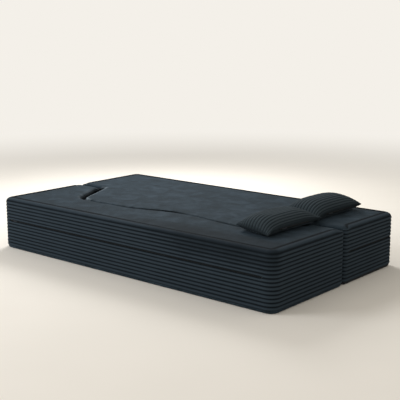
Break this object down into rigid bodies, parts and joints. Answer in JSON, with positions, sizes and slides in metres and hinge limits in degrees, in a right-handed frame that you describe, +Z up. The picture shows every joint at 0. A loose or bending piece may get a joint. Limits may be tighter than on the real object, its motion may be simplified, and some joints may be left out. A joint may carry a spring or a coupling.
{
  "type": "folding floor sofa bed",
  "caption": "Low foam sofa bed laid flat: two ribbed blocks, the near one with arms and a recess, the far one with a tongue, joined by a cloth hinge, with loose ribbed pillows.",
  "frame": {"origin": "on the floor, at the middle of the flat bed's footprint", "axes": "+X along the bed's length, +Y from the near back block to the far seat block, +Z up"},
  "size_m": [1.895, 1.09, 0.393],
  "materials": {
    "base_cloth": "woven cloth with small grip dots",
    "comfort_foam": "open-cell foam, soft",
    "corduroy": "wide-wale corduroy over wadding",
    "hinge_cloth": "plain woven cloth",
    "pillow_corduroy": "wide-wale corduroy over wadding",
    "pillow_filling": "fibre filling",
    "plush": "short-pile velvet, soft sheen",
    "support_foam": "open-cell foam, firm",
    "zip_coil": "moulded nylon coil",
    "zip_metal": "dark enamel on cast metal",
    "zip_tape": "woven tape"
  },
  "bodies": {
    "seat_block": {"left_hinge_tape": "hinge_cloth", "right_hinge_tape": "hinge_cloth", "seat_base_panel": "base_cloth", "seat_comfort_foam": "comfort_foam", "seat_lower_band": "corduroy", "seat_root_foam": "support_foam", "seat_tongue_band": "corduroy", "seat_tongue_foam": "support_foam", "seat_top_panel": "plush", "seat_upper_band": "corduroy", "seat_zip_coil": "zip_coil", "seat_zip_tape": "zip_tape"},
    "back_block": {"back_base_panel": "plush", "back_centre_comfort_foam": "comfort_foam", "back_centre_foam": "support_foam", "back_left_arm_comfort_foam": "comfort_foam", "back_left_arm_foam": "support_foam", "back_lower_band": "corduroy", "back_recess_band": "corduroy", "back_right_arm_comfort_foam": "comfort_foam", "back_right_arm_foam": "support_foam", "back_top_panel": "plush", "back_upper_band": "corduroy", "back_zip_coil": "zip_coil", "back_zip_tape": "zip_tape"},
    "near_pillow": {"near_pillow_bottom_panel": "pillow_corduroy", "near_pillow_filling": "pillow_filling", "near_pillow_top_panel": "pillow_corduroy", "near_pillow_zip_coil": "zip_coil", "near_pillow_zip_tape": "zip_tape"},
    "far_pillow": {"far_pillow_bottom_panel": "pillow_corduroy", "far_pillow_filling": "pillow_filling", "far_pillow_top_panel": "pillow_corduroy", "far_pillow_zip_coil": "zip_coil", "far_pillow_zip_tape": "zip_tape"},
    "back_zip_puller": {"back_zip_puller": "zip_metal"},
    "back_zip_slider": {"back_zip_slider": "zip_metal"},
    "far_pillow_zip_puller": {"far_pillow_zip_puller": "zip_metal"},
    "far_pillow_zip_slider": {"far_pillow_zip_slider": "zip_metal"},
    "near_pillow_zip_puller": {"near_pillow_zip_puller": "zip_metal"},
    "near_pillow_zip_slider": {"near_pillow_zip_slider": "zip_metal"},
    "seat_zip_puller": {"seat_zip_puller": "zip_metal"},
    "seat_zip_slider": {"seat_zip_slider": "zip_metal"}
  },
  "joints": [
    {"name": "fold", "type": "hinge", "parent": "seat_block", "child": "back_block", "pos_m": [0, 0.046, 0.29015], "axis": [-1, 0, 0], "range_deg": [0, 180], "deforming": ["left_hinge_tape", "right_hinge_tape", "far_pillow_bottom_panel", "far_pillow_filling", "far_pillow_top_panel", "far_pillow_zip_coil", "far_pillow_zip_puller", "far_pillow_zip_slider", "far_pillow_zip_tape", "near_pillow_bottom_panel", "near_pillow_filling", "near_pillow_top_panel", "near_pillow_zip_coil", "near_pillow_zip_puller", "near_pillow_zip_slider", "near_pillow_zip_tape"]},
    {"name": "near_pillow_slide", "type": "slide", "parent": "back_block", "child": "near_pillow", "axis": [-1, 0, 0], "range_m": [0, 1.1]},
    {"name": "far_pillow_slide", "type": "slide", "parent": "seat_block", "child": "far_pillow", "axis": [-1, 0, 0], "range_m": [0, 1.1]},
    {"name": "back_zip_slide", "type": "slide", "parent": "back_block", "child": "back_zip_slider", "axis": [1, 0, 0], "range_m": [0, 1.675]},
    {"name": "back_zip_pull", "type": "hinge", "parent": "back_zip_slider", "child": "back_zip_puller", "pos_m": [-0.8505, -0.5431, 0.1625], "axis": [0, 0, -1], "range_deg": [0, 170]},
    {"name": "seat_zip_slide", "type": "slide", "parent": "seat_block", "child": "seat_zip_slider", "axis": [-1, 0, 0], "range_m": [0, 1.715]},
    {"name": "seat_zip_pull", "type": "hinge", "parent": "seat_zip_slider", "child": "seat_zip_puller", "pos_m": [0.8705, 0.5431, 0.1625], "axis": [0, 0, -1], "range_deg": [0, 170]},
    {"name": "near_pillow_zip_slide", "type": "slide", "parent": "near_pillow", "child": "near_pillow_zip_slider", "axis": [0.0349, 0.9994, 0], "range_m": [0, 0.154]},
    {"name": "near_pillow_zip_pull", "type": "hinge", "parent": "near_pillow_zip_slider", "child": "near_pillow_zip_puller", "pos_m": [0.78769, -0.2441, 0.3143], "axis": [0, 0, -1], "range_deg": [0, 170]},
    {"name": "far_pillow_zip_slide", "type": "slide", "parent": "far_pillow", "child": "far_pillow_zip_slider", "axis": [0.0175, 0.9998, 0], "range_m": [0, 0.154]},
    {"name": "far_pillow_zip_pull", "type": "hinge", "parent": "far_pillow_zip_slider", "child": "far_pillow_zip_puller", "pos_m": [0.77231, 0.18294, 0.3143], "axis": [0, 0, -1], "range_deg": [0, 170]}
  ]
}
